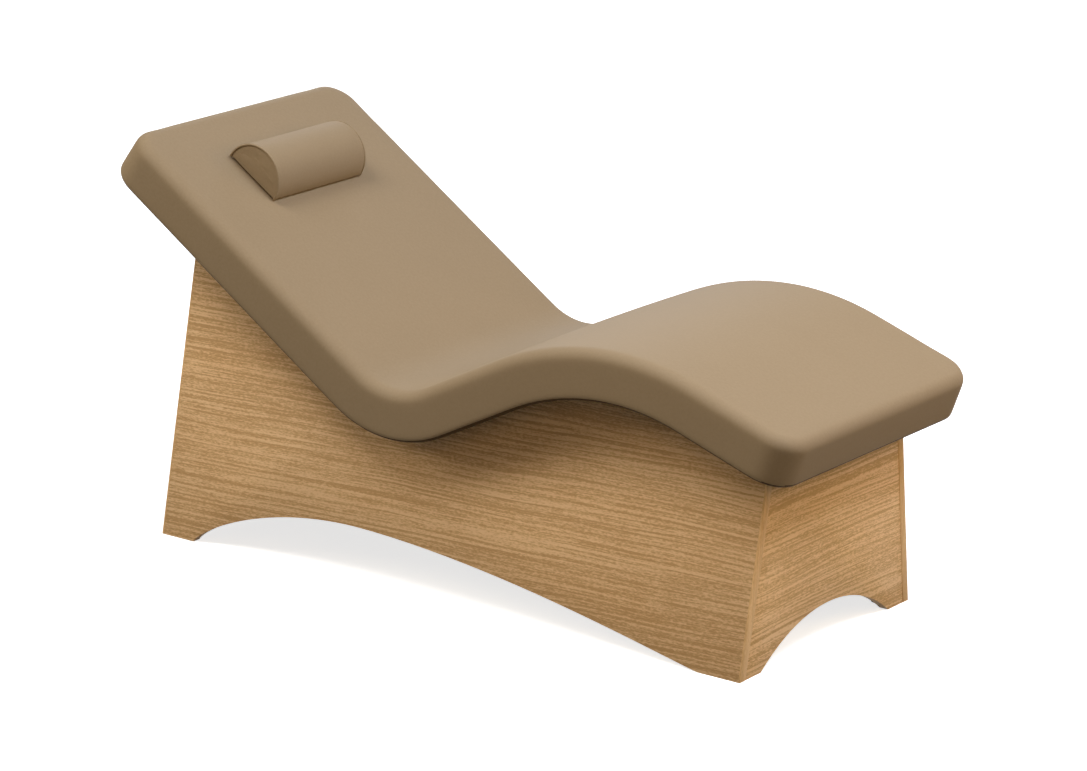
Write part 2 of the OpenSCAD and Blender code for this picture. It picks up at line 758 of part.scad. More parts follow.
module feet_left_leveller_pad() { leveller_pad(left, feet); }
module feet_left_leveller_stud() { leveller_stud(left, feet); }

echo(size = [max(pad_edge_x) - min(pad_edge_x), pad_w], shift = mid_x, pad_len = pad_len);
echo(pillow_at = wave(pillow_from_head, pillow_base) - [mid_x, 0], feet_at = [post_x, foot_y]);

placed() side_panel_right();
placed() side_panel_left();
placed() head_end_panel();
placed() feet_end_panel();
placed() side_panel_lippings();
placed() head_corner_posts();
placed() feet_corner_posts();
placed() deck_cleat_right();
placed() deck_cleat_left();
placed() upper_back_rail();
placed() lower_back_rail();
placed() hip_rail();
placed() thigh_rail();
placed() calf_rail();
placed() rail_brackets();
placed() bracket_screws();
placed() post_screws();
placed() leveller_inserts();
placed() bent_deck();
placed() foam_core();
placed() pad_cover();
placed() dust_cloth();
placed() deck_bolts();
placed() deck_washers();
placed() deck_tee_nuts();
placed() pillow_loop_strips();
placed() pillow_foam();
placed() pillow_cover();
placed() pillow_end_caps();
placed() pillow_welts();
placed() pillow_hook_strips();
placed() head_right_leveller_pad();
placed() head_right_leveller_stud();
placed() head_left_leveller_pad();
placed() head_left_leveller_stud();
placed() feet_right_leveller_pad();
placed() feet_right_leveller_stud();
placed() feet_left_leveller_pad();
placed() feet_left_leveller_stud();
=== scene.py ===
# %% [markdown]
# # A spa relaxation lounger
#
# The real lounger is a long upholstered pad, bent into a wave that follows a lying body, on a box
# base of oak-veneered boards, with a small half-round neck pillow that lifts off. This lesson
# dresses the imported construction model: the boards, rails and fasteners stay where they are, and
# the soft pad and pillow are modelled anew, because vinyl over foam has no flat faces and no hard
# edges.

# %% The construction model
import json
import math

import bmesh
import bpy
from mathutils import Matrix, Vector


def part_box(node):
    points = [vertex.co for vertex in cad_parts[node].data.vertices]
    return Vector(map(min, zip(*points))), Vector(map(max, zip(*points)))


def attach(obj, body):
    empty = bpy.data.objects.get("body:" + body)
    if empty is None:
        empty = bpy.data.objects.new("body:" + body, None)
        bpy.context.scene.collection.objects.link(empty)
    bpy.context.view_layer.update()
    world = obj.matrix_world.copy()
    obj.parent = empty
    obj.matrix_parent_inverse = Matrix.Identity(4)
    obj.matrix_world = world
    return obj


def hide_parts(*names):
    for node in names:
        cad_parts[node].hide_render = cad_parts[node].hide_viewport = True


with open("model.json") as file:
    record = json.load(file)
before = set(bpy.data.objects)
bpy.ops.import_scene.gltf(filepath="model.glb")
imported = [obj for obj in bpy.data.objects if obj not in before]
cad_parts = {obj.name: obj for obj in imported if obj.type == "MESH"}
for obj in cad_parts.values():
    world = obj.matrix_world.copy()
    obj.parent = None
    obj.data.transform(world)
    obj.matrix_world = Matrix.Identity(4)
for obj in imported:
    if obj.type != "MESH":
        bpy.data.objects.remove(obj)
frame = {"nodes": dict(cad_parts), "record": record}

scene = bpy.context.scene
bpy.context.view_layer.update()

# %% [markdown]
# ## The camera
#
# A picture of a box-like object gives its own camera away: the directions of the long, the cross
# and the upright edges fix the turn, and how fast they draw together fixes the distance. Here the
# camera stands ten metres off with a long lens, so the lounger hardly narrows with distance. The
# picture is also turned by two degrees, which is a roll about the camera's own line of sight.

# %% Camera values
IMAGE_W = 1087  # pixels, the size of the picture that the view was worked out from
FOCAL_PIXELS = 4521
AZIMUTH = math.radians(33.77)  # how far round from the lounger's long side
ELEVATION = math.radians(16.13)
ROLL = math.radians(2.13)
CAMERA_AWAY = 10.083  # metres
AIM_RIGHT = 0.0144  # metres, from the middle of the base to the middle of the picture
AIM_UP = 0.404
SENSOR_W = 36  # millimetres

# %% Camera from values
base_low, base_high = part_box("side_panel_lippings")
base_middle = Vector(((base_low.x + base_high.x) / 2, 0, 0))
sight = Vector((-math.sin(AZIMUTH) * math.cos(ELEVATION),
                math.cos(AZIMUTH) * math.cos(ELEVATION),
                -math.sin(ELEVATION)))
level = Vector((math.cos(AZIMUTH), math.sin(AZIMUTH), 0))
upward = level.cross(sight)
rolled_right = level * math.cos(ROLL) + upward * math.sin(ROLL)
rolled_up = upward * math.cos(ROLL) - level * math.sin(ROLL)

bpy.ops.object.camera_add()
camera = bpy.context.object
camera.name = "studio_camera"
camera.data.sensor_width = SENSOR_W
camera.data.lens = FOCAL_PIXELS / IMAGE_W * SENSOR_W
axes = Matrix((rolled_right, rolled_up, -sight)).transposed()
stand = base_middle + AIM_RIGHT * level + AIM_UP * upward - CAMERA_AWAY * sight
camera.matrix_world = Matrix.Translation(stand) @ axes.to_4x4()
scene.camera = camera
print("camera at", [round(v, 3) for v in stand], "lens", round(camera.data.lens, 1), "mm")

# %% [markdown]
# ## Short helpers
#
# Most pieces below start as a primitive and are shaped in edit mode. Blender's operators act on
# whatever is selected, so the helpers deselect everything first and then pick vertices, edges or
# faces by a rule about their place.

# %% Selecting
TINY = 0.0001  # metres, for telling whether a point lies on a plane
SQUARE = 0.999  # how much of a face's normal lies along an axis, when the face is square to it


def only(obj):
    """Makes obj the one selected and active object."""
    bpy.ops.object.select_all(action="DESELECT")
    obj.select_set(True)
    bpy.context.view_layer.objects.active = obj


def named(name):
    """Names the object that an operator has just added."""
    obj = bpy.context.object
    obj.name = name
    obj.data.name = name
    return obj


def edit(obj):
    """Opens an object for shaping."""
    only(obj)
    bpy.ops.object.mode_set(mode="EDIT")


def done():
    """Ends the shaping."""
    bpy.ops.object.mode_set(mode="OBJECT")


def pick(obj, kind, rule):
    """In edit mode, selects the vertices, edges or faces of obj that the rule holds for."""
    bpy.ops.mesh.select_mode(type=kind)
    bpy.ops.mesh.select_all(action="DESELECT")
    mesh = bmesh.from_edit_mesh(obj.data)
    parts = {"VERT": mesh.verts, "EDGE": mesh.edges, "FACE": mesh.faces}[kind]
    chosen = [part for part in parts if rule(part)]
    for part in chosen:
        part.select_set(True)
    mesh.select_flush_mode()
    bmesh.update_edit_mesh(obj.data)


def span(edge):
    """The vector along an edge."""
    return edge.verts[1].co - edge.verts[0].co


# %% Finishing a piece
CREASE_BOARD = 35  # degrees between faces, from which an edge of a board still shows as an edge
CREASE_VINYL = 60


def apply_modifier(obj, kind, **settings):
    """Adds one modifier, sets it and applies it."""
    only(obj)
    bpy.ops.object.modifier_add(type=kind)
    modifier = obj.modifiers[-1]
    for key, value in settings.items():
        setattr(modifier, key, value)
    bpy.ops.object.modifier_apply(modifier=modifier.name)


def settle(obj):
    """Puts the object's place into its mesh."""
    only(obj)
    bpy.ops.object.transform_apply(location=True, rotation=True, scale=True)


def smooth(obj, crease):
    """Smooth shading, with an edge left wherever faces meet at more degrees than the crease."""
    only(obj)
    bpy.ops.object.shade_smooth_by_angle(angle=math.radians(crease))

# %% [markdown]
# ## The wave
#
# Pad, deck and boards all follow one line: a straight back rest, a hollow for the hips, a straight
# thigh rest, a bend for the knees and a straight calf rest. The line is kept as a few lengths,
# radii and slopes, and everything soft is first modelled flat and then bent along it, as the
# upholsterer glues flat foam to the bent deck.

# %% Wave values
HEAD_OVERHANG = 0.145  # metres, from the base to the pad's lower edge at the head end
HEAD_HEIGHT = 0.8305  # of that edge over the floor
BACK_ANGLE = math.radians(33.7)
BACK_LEN = 0.771
HIP_R = 0.280
THIGH_ANGLE = math.radians(27.8)
THIGH_LEN = 0.208
KNEE_R = 0.517
CALF_ANGLE = math.radians(18.6)
CALF_LEN = 0.265

HIP_AT = BACK_LEN
THIGH_AT = HIP_AT + HIP_R * (BACK_ANGLE + THIGH_ANGLE)
KNEE_AT = THIGH_AT + THIGH_LEN
CALF_AT = KNEE_AT + KNEE_R * (THIGH_ANGLE + CALF_ANGLE)
PAD_LEN = CALF_AT + CALF_LEN


def heading(angle):
    """The direction along a slope."""
    return Vector((math.cos(angle), 0, math.sin(angle)))


def upright(angle):
    """The direction square to a slope, upwards."""
    return Vector((-math.sin(angle), 0, math.cos(angle)))


def wave_angle(s):
    """Slope of the wave at the distance s from the head end."""
    if s <= HIP_AT:
        return -BACK_ANGLE
    if s <= THIGH_AT:
        return -BACK_ANGLE + (s - HIP_AT) / HIP_R
    if s <= KNEE_AT:
        return THIGH_ANGLE
    if s <= CALF_AT:
        return THIGH_ANGLE - (s - KNEE_AT) / KNEE_R
    return -CALF_ANGLE


head_edge = Vector((base_low.x - HEAD_OVERHANG, 0, HEAD_HEIGHT))
hip_start = head_edge + BACK_LEN * heading(-BACK_ANGLE)
hip_centre = hip_start + HIP_R * upright(-BACK_ANGLE)
thigh_start = hip_centre - HIP_R * upright(THIGH_ANGLE)
knee_start = thigh_start + THIGH_LEN * heading(THIGH_ANGLE)
knee_centre = knee_start - KNEE_R * upright(THIGH_ANGLE)
calf_start = knee_centre + KNEE_R * upright(-CALF_ANGLE)


def wave(s, height=0):
    """Point at the distance s along the wave and a height square to it."""
    angle = wave_angle(s)
    if s <= HIP_AT:
        foot = head_edge + s * heading(angle)
    elif s <= THIGH_AT:
        foot = hip_centre - HIP_R * upright(angle)
    elif s <= KNEE_AT:
        foot = thigh_start + (s - THIGH_AT) * heading(angle)
    elif s <= CALF_AT:
        foot = knee_centre + KNEE_R * upright(angle)
    else:
        foot = calf_start + (s - CALF_AT) * heading(angle)
    return foot + height * upright(angle)


# %% The wave as a guide curve
STRAIGHT = 0.001  # radians, a turn that is too small for an arc


def handle_length(s, t):
    """Length of the Bezier handles that draw the straight or the arc between two stations."""
    turn = abs(wave_angle(t) - wave_angle(s))
    if turn < STRAIGHT:
        return abs(t - s) / 3
    return 4 / 3 * math.tan(turn / 4) * abs(t - s) / turn


def wave_guide():
    """A Bezier curve of straights and arcs, which the Curve modifier bends flat pieces along."""
    stations = [0, HIP_AT, (HIP_AT + THIGH_AT) / 2, THIGH_AT,
                KNEE_AT, (KNEE_AT + CALF_AT) / 2, CALF_AT, PAD_LEN]
    data = bpy.data.curves.new("wave_guide", "CURVE")
    data.dimensions = "3D"
    data.twist_mode = "Z_UP"
    data.resolution_u = 64
    spline = data.splines.new("BEZIER")
    spline.bezier_points.add(len(stations) - 1)
    for i, s in enumerate(stations):
        point = spline.bezier_points[i]
        along = heading(wave_angle(s))
        before = stations[i - 1] if i > 0 else s - CALF_LEN
        after = stations[i + 1] if i < len(stations) - 1 else s + CALF_LEN
        point.handle_left_type = point.handle_right_type = "FREE"
        point.co = wave(s)
        point.handle_left = point.co - handle_length(before, s) * along
        point.handle_right = point.co + handle_length(s, after) * along
    guide = bpy.data.objects.new("wave_guide", data)
    scene.collection.objects.link(guide)
    return guide


guide = wave_guide()
print("pad length along the wave:", round(PAD_LEN, 4), "m")

# %% [markdown]
# ## The pad
#
# Foam on a bent plywood deck, wrapped in one piece of vinyl that is pulled round the edges and
# turned under. It could be lofted section by section, but a slab is easier to keep even: a box is
# bevelled to the rounded outline, its edges are rounded, and the flat faces get rings that follow
# the outline, so that the corners stay smooth. Cloth with air pressure inside then swells the
# cover a few millimetres, which gives the soft crown that a flat box never has.
#
# The strip at the lower edge, where the vinyl turns under, is painted shade: a dark brown that
# stands in for the shade along that edge. The bend tilts every face, so each point keeps its place
# on the flat slab as an attribute, and the strip is found by that.

# %% Pad values
PAD_W = 0.772
PAD_EDGE_T = 0.113  # thickness at the edges
PAD_CROWN = 0.004  # how much thicker the middle is
TOP_EDGE_R = 0.028
BOTTOM_EDGE_R = 0.014
CORNER_R = 0.074
TURN_UNDER = 0.046  # how far the vinyl reaches under the deck
PAINTED_SHADE_FROM = 0.0066  # the height on the lower edge below which the vinyl gets painted shade
PAINTED_SHADE_FROM_FEET = 0.0118  # the same at the feet end, whose face leans back
COVER_T = 0.0016

# %% Slab with rounded outline and edges
bpy.ops.object.select_all(action="DESELECT")
bpy.ops.mesh.primitive_cube_add(size=1, location=(PAD_LEN / 2, 0, PAD_EDGE_T / 2),
                                scale=(PAD_LEN, PAD_W, PAD_EDGE_T))
pad = named("pad_vinyl_and_foam")
settle(pad)
edit(pad)
pick(pad, "EDGE", lambda e: abs(span(e).z) > TINY)
bpy.ops.mesh.bevel(offset=CORNER_R, segments=10, affect="EDGES")
pick(pad, "EDGE", lambda e: min(v.co.z for v in e.verts) > PAD_EDGE_T - TINY)
bpy.ops.mesh.bevel(offset=TOP_EDGE_R, segments=6, affect="EDGES")
pick(pad, "EDGE", lambda e: max(v.co.z for v in e.verts) < TINY)
bpy.ops.mesh.bevel(offset=BOTTOM_EDGE_R, segments=4, affect="EDGES")

# %% Rings on the flat faces, and a grid inside them
BROAD = 0.1  # square metres, more than any of the rounded faces has


def ring_in(facing, distances):
    """Insets the flat face that looks up (1) or down (-1) by each distance in turn."""
    pick(pad, "FACE", lambda f: f.normal.z * facing > SQUARE and f.calc_area() > BROAD)
    for distance in distances:
        bpy.ops.mesh.inset(thickness=distance)


RING_SHY = 0.0002  # stops short of the point where the corner closes
top_ring = CORNER_R - TOP_EDGE_R
low_ring = TURN_UNDER - BOTTOM_EDGE_R
inner_ring = CORNER_R - TURN_UNDER
ring_in(1, [top_ring / 3, top_ring / 3, top_ring / 3 - RING_SHY])
ring_in(-1, [low_ring / 2, low_ring / 2, inner_ring / 2, inner_ring / 2 - RING_SHY])
bpy.ops.mesh.select_all(action="SELECT")
bpy.ops.mesh.remove_doubles(threshold=5 * RING_SHY)
pick(pad, "EDGE", lambda e: abs(span(e).x) > PAD_LEN / 2)
bpy.ops.mesh.subdivide(number_cuts=96)
pick(pad, "EDGE", lambda e: abs(span(e).y) > PAD_W / 2)
bpy.ops.mesh.subdivide(number_cuts=31)
pick(pad, "EDGE", lambda e: abs(span(e).z) > PAD_EDGE_T / 3)
bpy.ops.mesh.subdivide(number_cuts=3)
done()
print("pad before swelling:", len(pad.data.vertices), "points")

# %% Swelling
SWELL_FRAMES = 20
SWELL_PRESSURE = 4


def swell(obj, held, most):
    """Cloth with pressure inside. The held points stay, and no other moves further than most."""
    before = [v.co.copy() for v in obj.data.vertices]
    group = obj.vertex_groups.new(name="held")
    group.add([v.index for v in obj.data.vertices if held(v.co)], 1, "REPLACE")
    only(obj)
    bpy.ops.object.modifier_add(type="CLOTH")
    cloth = obj.modifiers[-1]
    cloth.settings.vertex_group_mass = group.name
    cloth.settings.use_pressure = True
    cloth.settings.uniform_pressure_force = SWELL_PRESSURE
    cloth.settings.effector_weights.gravity = 0
    cloth.settings.quality = 6
    cloth.collision_settings.use_collision = False
    for frame_number in range(1, SWELL_FRAMES + 1):
        scene.frame_set(frame_number)
    bpy.ops.object.modifier_apply(modifier=cloth.name)
    scene.frame_set(1)
    furthest = max((v.co - b).length for v, b in zip(obj.data.vertices, before))
    share = min(1, most / furthest)
    for v, b in zip(obj.data.vertices, before):
        v.co = b + (v.co - b) * share
    obj.vertex_groups.clear()
    print(obj.name, "swelled by", round(furthest * 1000, 1), "mm, kept", round(share, 2))


swell(pad, lambda co: co.z < BOTTOM_EDGE_R, PAD_CROWN)

# %% The vinyl turned under, and the bend
flat = pad.data.attributes.new("flat_place", "FLOAT_VECTOR", "POINT")
for item, v in zip(flat.data, pad.data.vertices):
    item.vector = v.co


def inside_turn(face):
    """True for the flat underside that the vinyl doesn't reach."""
    return face.normal.z < -SQUARE and all(
        TURN_UNDER - TINY < v.co.x < PAD_LEN - TURN_UNDER + TINY
        and abs(v.co.y) < PAD_W / 2 - TURN_UNDER + TINY for v in face.verts)


edit(pad)
pick(pad, "FACE", inside_turn)
bpy.ops.mesh.extrude_region_move(TRANSFORM_OT_translate={"value": (0, 0, COVER_T)})
done()
apply_modifier(pad, "CURVE", object=guide, deform_axis="POS_X")
apply_modifier(pad, "SUBSURF", levels=1, render_levels=1)

# %% The faces of the painted shade strip
pad.data.materials.append(None)  # slot 0, for the cover
pad.data.materials.append(None)  # slot 1, for the strip of painted shade
flat = pad.data.attributes["flat_place"]
places = [item.vector.copy() for item in flat.data]
# painted shade: faces low on the lower edge take slot 1, a dark brown that stands in for the shade
# there
for face in pad.data.polygons:
    furthest = max(places[i].x for i in face.vertices)
    highest = max(places[i].z for i in face.vertices)
    at_feet = max(0, 1 - (PAD_LEN - furthest) / CORNER_R)  # 0 to 1 round the feet corners
    face.material_index = int(highest < PAINTED_SHADE_FROM + (PAINTED_SHADE_FROM_FEET - PAINTED_SHADE_FROM) * at_feet)
pad.data.attributes.remove(flat)
smooth(pad, CREASE_VINYL)
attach(pad, "lounger")
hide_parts("pad_cover", "foam_core")
print("pad:", len(pad.data.polygons), "faces,",
      sum(face.material_index for face in pad.data.polygons), "of them in the strip")

# %% [markdown]
# ## The neck pillow
#
# A half-round bolster of foam in the same vinyl, with a welt round each end, held by two
# hook-and-loop strips. A cylinder is cut at its flat underside. The end faces get rings, pushed
# in beside the welt, where the seam pulls the vinyl down, and a little pressure rounds the rest.
# Insets would fold up the short facets beside the base corners, so the end faces get scaled rings.

# %% Pillow values
PILLOW_LEN = 0.325
PILLOW_W = 0.150
PILLOW_H = 0.077
PILLOW_FROM_HEAD = 0.215  # along the back rest, to the pillow's middle
PILLOW_SHIFT = -0.013  # off the lounger's middle, to the right
PILLOW_SWELL = 0.0015  # how far the pressure rounds the end faces
PILLOW_CLEAR = 0.0025  # hook-and-loop between the pad and the pillow's underside
WELT_R = 0.0025
pillow_r = PILLOW_W / 2
axis_up = PILLOW_H - pillow_r  # height of the cylinder's axis over the flat underside


def onto_backrest(obj):
    """Moves a piece drawn flat at the origin to the pillow's place on the back rest."""
    foot = wave(PILLOW_FROM_HEAD, PAD_EDGE_T + PAD_CROWN + PILLOW_CLEAR)
    obj.location = (foot.x, PILLOW_SHIFT, foot.z)
    obj.rotation_euler = (0, BACK_ANGLE, 0)
    settle(obj)


# %% Half-round body
FACETS = 96  # of the whole circle
BASE_EDGE_R = 0.0042
SEAM_DEEP = 0.0006  # how far the seam beside the welt lies in
RIM_W = 0.006  # what the welt and the seam hold still
BASE_TUCK = 0.004  # how far the end faces lie back at the base
END_RINGS = ((0.0025, 0), (0.0015, -SEAM_DEEP), (0.0025, SEAM_DEEP),
             (0.006, 0), (0.007, 0), (0.007, 0), (0.007, 0))  # (how far in, how far out)
body_half = PILLOW_LEN / 2 - WELT_R
bpy.ops.object.select_all(action="DESELECT")
bpy.ops.mesh.primitive_cylinder_add(vertices=FACETS, radius=pillow_r, depth=2 * body_half,
                                    location=(0, 0, axis_up),
                                    rotation=(math.pi / 2, math.pi / FACETS, 0))
pillow = named("neck_pillow_cover")
settle(pillow)
edit(pillow)
bpy.ops.mesh.select_all(action="SELECT")
bpy.ops.mesh.bisect(plane_co=(0, 0, 0), plane_no=(0, 0, 1), use_fill=True, clear_inner=True)
for facing in (1, -1):
    pick(pillow, "FACE", lambda f: f.normal.y * facing > SQUARE)
    half_w, half_h = pillow_r, PILLOW_H / 2
    for inset, out in END_RINGS:
        bpy.ops.mesh.extrude_region_move(TRANSFORM_OT_translate={"value": (0, facing * out, 0)})
        bpy.ops.transform.resize(value=(1 - inset / half_w, 1, 1 - inset / half_h),
                                 center_override=(0, facing * body_half, PILLOW_H / 2))
        half_w, half_h = half_w - inset, half_h - inset
pick(pillow, "VERT", lambda v: v.co.z < TINY)
bpy.ops.transform.resize(value=(1, 1 - BASE_TUCK / body_half, 1), center_override=(0, 0, 0))
pick(pillow, "EDGE", lambda e: abs(span(e).y) > body_half and max(v.co.z for v in e.verts) < TINY)
bpy.ops.mesh.bevel(offset=BASE_EDGE_R, segments=4, affect="EDGES")
pick(pillow, "EDGE", lambda e: abs(span(e).y) > body_half)
bpy.ops.mesh.subdivide(number_cuts=30)
done()


def pillow_held(co):
    """The underside and the rim at each welt."""
    from_axis = math.hypot(co.x, co.z - axis_up)
    at_rim = abs(co.y) > body_half - RIM_W and from_axis > pillow_r - RIM_W
    return at_rim or co.z < BASE_EDGE_R


swell(pillow, pillow_held, PILLOW_SWELL)
apply_modifier(pillow, "SUBSURF", levels=1, render_levels=1)
smooth(pillow, CREASE_VINYL)
onto_backrest(pillow)
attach(pillow, "neck_pillow")
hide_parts("pillow_cover", "pillow_foam", "pillow_end_caps")
print("pillow:", len(pillow.data.polygons), "faces")

# %% [markdown]
# ## The welts
#
# A welt is a cord wrapped in the vinyl and sewn into the seam. It could be a small circle swept
# round the end face by hand, but a curve with a round bevel does the same from a list of points:
# its line follows the half-round end, and both its ends run in under the pillow.

# %% Welts
WELT_IN = 0.001  # how far the cord's middle lies inside the outline
WELT_STEPS = 72
TUCK = (0.010, 0.012)  # how far the cord's ends run in under the pillow, inwards and along it
welt_r = pillow_r - WELT_IN
low_turn = math.asin((WELT_IN - axis_up) / welt_r)  # where the arc meets the base line
welt_line = []
for step in range(WELT_STEPS + 1):
    turn = low_turn + (math.pi - 2 * low_turn) * step / WELT_STEPS
    welt_line.append((welt_r * math.cos(turn), body_half, axis_up + welt_r * math.sin(turn)))
for end, at in ((welt_line[-1], WELT_STEPS + 1), (welt_line[0], 0)):
    inwards = -math.copysign(TUCK[0], end[0])
    welt_line.insert(at, (end[0] + inwards, body_half - TUCK[1], BASE_EDGE_R))
cord = bpy.data.curves.new("neck_pillow_welts", "CURVE")
cord.dimensions = "3D"
cord.bevel_depth = WELT_R
cord.bevel_resolution = 3
cord.use_fill_caps = True
for side in (1, -1):
    spline = cord.splines.new("POLY")
    spline.points.add(len(welt_line) - 1)
    for point, (x, y, z) in zip(spline.points, welt_line):
        point.co = (x, side * y, z, 1)
welts = bpy.data.objects.new("neck_pillow_welts", cord)
scene.collection.objects.link(welts)
only(welts)
bpy.ops.object.convert(target="MESH")
welts = bpy.context.object
smooth(welts, CREASE_VINYL)
onto_backrest(welts)
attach(welts, "neck_pillow")
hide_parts("pillow_welts")
print("welts:", len(welts.data.polygons), "faces")

# %% [markdown]
# ## The boards
#
# The construction model already holds the boards at their true shape, but with knife-sharp edges.
# Real boards are sanded, and the small rounding is what catches the light at the corners. Each
# board is copied, its loose triangles are merged back to whole faces, and a bevel of less than a
# millimetre is applied.

# %% Copies with sanded edges
SANDED_R = 0.0004
CORNER_FROM = math.radians(40)  # an edge that turns by less is part of a curve, and isn't sanded
FLAT_WITHIN = math.radians(0.3)  # triangles that turn by less than this make one face


def sanded(node, name):
    """A copy of a board with its edges rounded, which takes the board's place."""
    obj = frame["nodes"][node].copy()
    obj.data = frame["nodes"][node].data.copy()
    obj.name = name
    obj.data.name = name
    obj.parent = None
    for key in list(obj.keys()):
        del obj[key]
    scene.collection.objects.link(obj)
    only(obj)
    if obj.data.has_custom_normals:
        bpy.ops.mesh.customdata_custom_splitnormals_clear()
    edit(obj)
    bpy.ops.mesh.select_all(action="SELECT")
    bpy.ops.mesh.remove_doubles(threshold=TINY / 10)
    bpy.ops.mesh.dissolve_limited(angle_limit=FLAT_WITHIN)
    done()
    apply_modifier(obj, "BEVEL", width=SANDED_R, segments=2, limit_method="ANGLE",
                   angle_limit=CORNER_FROM, use_clamp_overlap=True)
    smooth(obj, CREASE_BOARD)
    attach(obj, "lounger")
    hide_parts(node)
    return obj


boards = {node: sanded(node, name) for node, name in (
    ("side_panel_right", "right_side_board"), ("side_panel_left", "left_side_board"),
    ("head_end_panel", "head_end_board"), ("feet_end_panel", "feet_end_board"))}
lippings = sanded("side_panel_lippings", "side_board_lippings")
print("boards:", sum(len(b.data.polygons) for b in boards.values()), "faces")

# %% [markdown]
# ## Finishes
#
# Every finish is built from nodes. A pattern that more than one finish uses is a node group, made
# once with named sockets and placed with its own values. The groups only put out tones, masks and
# heights, and the shader itself stays in the material.


# %% Helpers for node trees
def join(tree, node, sockets):
    """Links each socket to the node output that is given for it, or sets it to a given value."""
    for key, value in sockets.items():
        if isinstance(value, bpy.types.NodeSocket):
            tree.links.new(value, node.inputs[key])
        else:
            node.inputs[key].default_value = value


def put(tree, kind, sockets=None, **settings):
    """Adds a node with these settings and sockets."""
    node = tree.nodes.new(kind)
    for key, value in settings.items():
        setattr(node, key, value)
    join(tree, node, sockets or {})
    return node


def use(tree, group, sockets):
    """Places a node group and gives its outputs."""
    return put(tree, "ShaderNodeGroup", sockets, node_tree=group).outputs


def calc(tree, operation, a, b=0.0, c=0.0):
    """A Math node's output."""
    return put(tree, "ShaderNodeMath", {0: a, 1: b, 2: c}, operation=operation).outputs[0]


def between(tree, share, low, high):
    """A value that goes from low to high as the share goes from 0 to 1."""
    return calc(tree, "MULTIPLY_ADD", share, high - low, low)


def noise(tree, place, scale, detail, rough=0.5):
    """A Noise Texture's output."""
    return put(tree, "ShaderNodeTexNoise", {"Vector": place, "Scale": scale, "Detail": detail,
                                            "Roughness": rough}).outputs[0]


def turned(tree, place, turn, shift=(0, 0, 0)):
    """The place that a pattern is read at, turned by three angles and shifted."""
    return put(tree, "ShaderNodeMapping",
               {"Vector": place, "Location": shift, "Rotation": turn}).outputs[0]


# %% Helpers for colours
def srgb(r, g, b):
    """A colour as it is read off a screen, 0 to 255, as the linear colour that shaders take."""
    def linear(v):
        v = v / 255
        return v / 12.92 if v <= 0.04045 else ((v + 0.055) / 1.055) ** 2.4
    return (linear(r), linear(g), linear(b), 1)


def blend_colours(tree, share, a, b, kind="MIX"):
    """A Mix node for colours."""
    return put(tree, "ShaderNodeMix", {0: share, 6: a, 7: b},
               data_type="RGBA", blend_type=kind).outputs[2]


def ramp(tree, share, stops):
    """A Color Ramp's colour output, from (place, colour) stops."""
    node = put(tree, "ShaderNodeValToRGB", {0: share})
    elements = node.color_ramp.elements
    while len(elements) < len(stops):
        elements.new(0.5)
    for element, (at, colour) in zip(elements, stops):
        element.position = at
        element.color = colour
    return node.outputs[0]


def bump(tree, height, deep, strength):
    """A Bump node's normal. The height is as deep as given, in metres."""
    return put(tree, "ShaderNodeBump",
               {"Height": height, "Distance": deep, "Strength": strength}).outputs[0]


# %% Helpers for groups and materials
def new_group(name, inputs, outputs):
    """An empty node group with float inputs (name: default), a Vector input and float outputs."""
    tree = bpy.data.node_groups.new(name, "ShaderNodeTree")
    tree.interface.new_socket("Vector", in_out="INPUT", socket_type="NodeSocketVector")
    for key, value in inputs.items():
        socket = tree.interface.new_socket(key, in_out="INPUT", socket_type="NodeSocketFloat")
        socket.default_value = value
    for key in outputs:
        tree.interface.new_socket(key, in_out="OUTPUT", socket_type="NodeSocketFloat")
    return tree, tree.nodes.new("NodeGroupInput").outputs, tree.nodes.new("NodeGroupOutput")


def new_material(name):
    """A material with its node tree, its shader and the place that its patterns are read at."""
    material = bpy.data.materials.new(name)
    material.use_nodes = True
    tree = material.node_tree
    shader = tree.nodes["Principled BSDF"]
    place = tree.nodes.new("ShaderNodeTexCoord").outputs["Object"]
    return material, tree, shader, place


def wear(obj, material):
    """Gives an object this finish only."""
    obj.data.materials.clear()
    obj.data.materials.append(material)


# %% Noise drawn out along X
def stretched_noise():
    """So many features to the metre along X and across it."""
    tree, given, result = new_group(
        "stretched_noise", {"Along": 8, "Across": 100, "Detail": 3, "Rough": 0.55}, ["Value"])
    counts = put(tree, "ShaderNodeCombineXYZ",
                 {0: given["Along"], 1: given["Across"], 2: given["Across"]}).outputs[0]
    drawn = put(tree, "ShaderNodeVectorMath", {0: given["Vector"], 1: counts},
                operation="MULTIPLY").outputs[0]
    join(tree, result, {"Value": noise(tree, drawn, 1, given["Detail"], given["Rough"])})
    return tree


stretched = stretched_noise()


def streaks(tree, place, along, across, detail=1):
    """Places the stretched noise."""
    return use(tree, stretched, {"Vector": place, "Along": along, "Across": across,
                                 "Detail": detail})["Value"]


# %% Flecks
FLECK_EDGE = 9  # how hard a fleck's edge is


def flecks():
    """Short dark dashes: the parts of a stretched noise that rise above a level."""
    tree, given, result = new_group("flecks", {"Along": 60, "Across": 700, "Level": 0.6}, ["Mask"])
    value = streaks(tree, given["Vector"], given["Along"], given["Across"])
    above = calc(tree, "SUBTRACT", value, given["Level"])
    mask = put(tree, "ShaderNodeMath", {0: above, 1: FLECK_EDGE},
               operation="MULTIPLY", use_clamp=True).outputs[0]
    join(tree, result, {"Mask": mask})
    return tree


fleck = flecks()

# %% Growth rings
RING_FALL = 2.5  # how sharply a ring's line ends
RING_MEAN = 0.29  # what such a line darkens on average, taken off so that the board keeps its tone
RING_FADE = 2.5  # how strongly the lines fade in and out


